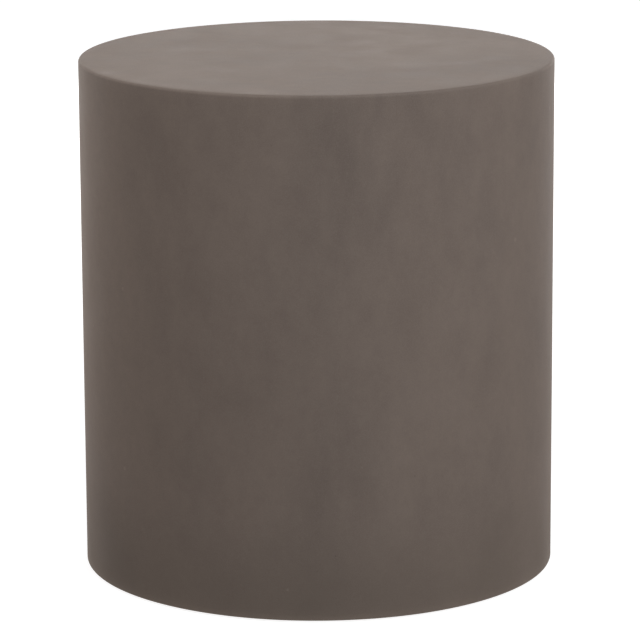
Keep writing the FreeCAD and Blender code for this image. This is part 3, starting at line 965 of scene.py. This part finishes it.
def floor_paint():
    """Pale matt studio floor. Seen directly it is lifted to white and keeps the object's shadow. From below
    it is clear, so that the table's underside can be looked at. Near the foot it lets light through."""
    material, tree = new_material("studio_floor")
    lit = add(tree, "ShaderNodeBsdfDiffuse", {"Color": linear(FLOOR_GREY)}).outputs[0]
    faint = add(tree, "ShaderNodeBsdfDiffuse", {"Color": linear(SEEN_FLOOR_GREY)}).outputs[0]
    place = add(tree, "ShaderNodeTexCoord").outputs["Object"]
    apart = add(tree, "ShaderNodeVectorMath", {0: place}, operation="LENGTH").outputs["Value"]
    strength = add(tree, "ShaderNodeMapRange", {
        "Value": apart, "From Min": GLOW_NEAR, "From Max": GLOW_FAR,
        "To Min": GLOW_NEAR_LEVEL, "To Max": GLOW_FAR_LEVEL,
    }, clamp=True).outputs[0]
    glow = add(tree, "ShaderNodeEmission", {"Color": BACKGROUND, "Strength": strength}).outputs[0]
    bright = add(tree, "ShaderNodeAddShader", {0: faint, 1: glow}).outputs[0]
    seen = seen_directly(tree)
    top = add(tree, "ShaderNodeMixShader", {0: seen, 1: lit, 2: bright}).outputs[0]
    clear = add(tree, "ShaderNodeBsdfTransparent").outputs[0]
    below = add(tree, "ShaderNodeNewGeometry").outputs["Backfacing"]
    at_foot = add(tree, "ShaderNodeMath", {0: apart, 1: FOOT_LIGHT_RADIUS},
                  operation="LESS_THAN").outputs[0]
    unseen = add(tree, "ShaderNodeMath", {0: 1.0, 1: seen}, operation="SUBTRACT").outputs[0]
    let_through = add(tree, "ShaderNodeMath", {0: at_foot, 1: unseen}, operation="MULTIPLY").outputs[0]
    opened = add(tree, "ShaderNodeMath", {0: below, 1: let_through}, operation="MAXIMUM").outputs[0]
    both = add(tree, "ShaderNodeMixShader", {0: opened, 1: top, 2: clear}).outputs[0]
    add(tree, "ShaderNodeOutputMaterial", {"Surface": both})
    return material


def studio_floor():
    """Round floor with a hole under the table, where the foot hides it, so that the lamp beneath can light
    the underside."""
    mesh = bpy.data.meshes.new("studio_floor")
    turns = [math.tau * side / FLOOR_SIDES for side in range(FLOOR_SIDES)]
    ring = [(math.cos(a), math.sin(a)) for a in turns]
    points = [(FLOOR_HOLE_RADIUS * x, FLOOR_HOLE_RADIUS * y, -FLOOR_DROP) for x, y in ring]
    points += [(FLOOR_RADIUS * x, FLOOR_RADIUS * y, -FLOOR_DROP) for x, y in ring]
    faces = []
    for side in range(FLOOR_SIDES):
        following = (side + 1) % FLOOR_SIDES
        faces.append((side, FLOOR_SIDES + side, FLOOR_SIDES + following, following))
    mesh.from_pydata(points, [], faces)
    mesh.materials.append(floor_paint())
    floor = bpy.data.objects.new("studio_floor", mesh)
    bpy.context.scene.collection.objects.link(floor)


DAYLIGHT = "f4faff"
LAMPLIGHT = "fffbf7"
NEUTRAL = "ffffff"

# Soft boxes: bearing from the front, positive to the right, then height angle, distance, width, power
# and colour
SOFT_BOXES = {
    "front_left": (-30, 10, 2.6, 1.1, 9.0, NEUTRAL),
    "front_right_high": (30, 40, 2.6, 1.1, 40.8, DAYLIGHT),
    "left_high": (-90, 40, 1.9, 0.8, 9.0, NEUTRAL),
    "right": (90, 10, 2.6, 1.1, 13.9, NEUTRAL),
    "far_left": (-120, 10, 2.6, 1.1, 8.4, NEUTRAL),
    "back_left": (-150, 10, 2.6, 1.1, 13.8, LAMPLIGHT),
    "back": (180, 10, 2.6, 1.1, 20.6, LAMPLIGHT),
    "back_right": (150, 10, 2.6, 1.1, 18.9, LAMPLIGHT),
    "beneath": (0, -90, 1.2, 2.4, 21.5, NEUTRAL),
}
WORLD_LIGHT = 0.02


def drum_middle():
    """Middle of the table, which the lamps and the camera face."""
    low, high = cad_box
    return (Vector(low) + Vector(high)) / 2


def soft_box(name, bearing, height_angle, distance, width, power, colour):
    """Square area lamp that faces the drum's middle."""
    lamp = bpy.data.lights.new(name, "AREA")
    lamp.shape = "SQUARE"
    lamp.size = width
    lamp.energy = power
    lamp.color = linear(colour)[:3]
    holder = bpy.data.objects.new(name, lamp)
    holder.visible_camera = False
    bpy.context.scene.collection.objects.link(holder)
    sideways = Matrix.Rotation(math.radians(bearing), 3, "Z")
    upwards = Matrix.Rotation(math.radians(-height_angle), 3, "X")
    outwards = sideways @ upwards @ Vector((0, -1, 0))
    facing = outwards.to_track_quat("Z", "Y").to_matrix().to_4x4()
    holder.matrix_world = Matrix.Translation(drum_middle() + distance * outwards) @ facing


def camera():
    """Camera on a circle round the drum's middle, at the photograph's height, aim and roll."""
    pitch = CAMERA_PITCH
    place = drum_middle() + CAMERA_DISTANCE * Vector((0, -math.cos(pitch), math.sin(pitch)))
    rise = AIM_UP - pitch
    level = math.cos(rise)
    ahead = Vector((math.sin(AIM_RIGHT) * level, math.cos(AIM_RIGHT) * level, math.sin(rise)))
    right = ahead.cross(Vector((0, 0, 1))).normalized()
    up = right.cross(ahead)
    roll = Matrix.Rotation(-CAMERA_ROLL, 3, ahead)
    right, up = roll @ right, roll @ up
    lens = bpy.data.cameras.new("camera")
    lens.sensor_width = SENSOR
    lens.lens = FOCAL_PIXELS / IMAGE_LONG_SIDE * SENSOR
    holder = bpy.data.objects.new("camera", lens)
    turn = Matrix((right, up, -ahead)).transposed().to_4x4()
    holder.matrix_world = Matrix.Translation(place) @ turn
    bpy.context.scene.collection.objects.link(holder)
    bpy.context.scene.camera = holder


# The table in its studio

bpy.context.scene.view_settings.view_transform = "Standard"
concrete = sealed_concrete()
steel = zinc_plated_steel()
cast_drum(concrete)
leveller_studs(steel)
dress("base_board", birch_plywood())
dress("board_insert", turned_brass())
dress("board_screw", steel)
dress("tee_nut", steel)
dress("leveller_foot", moulded_nylon())
dress("leveller_sole", sole_rubber())
white_world(WORLD_LIGHT)
studio_floor()
for lamp_name, setting in SOFT_BOXES.items():
    soft_box(lamp_name, *setting)
camera()
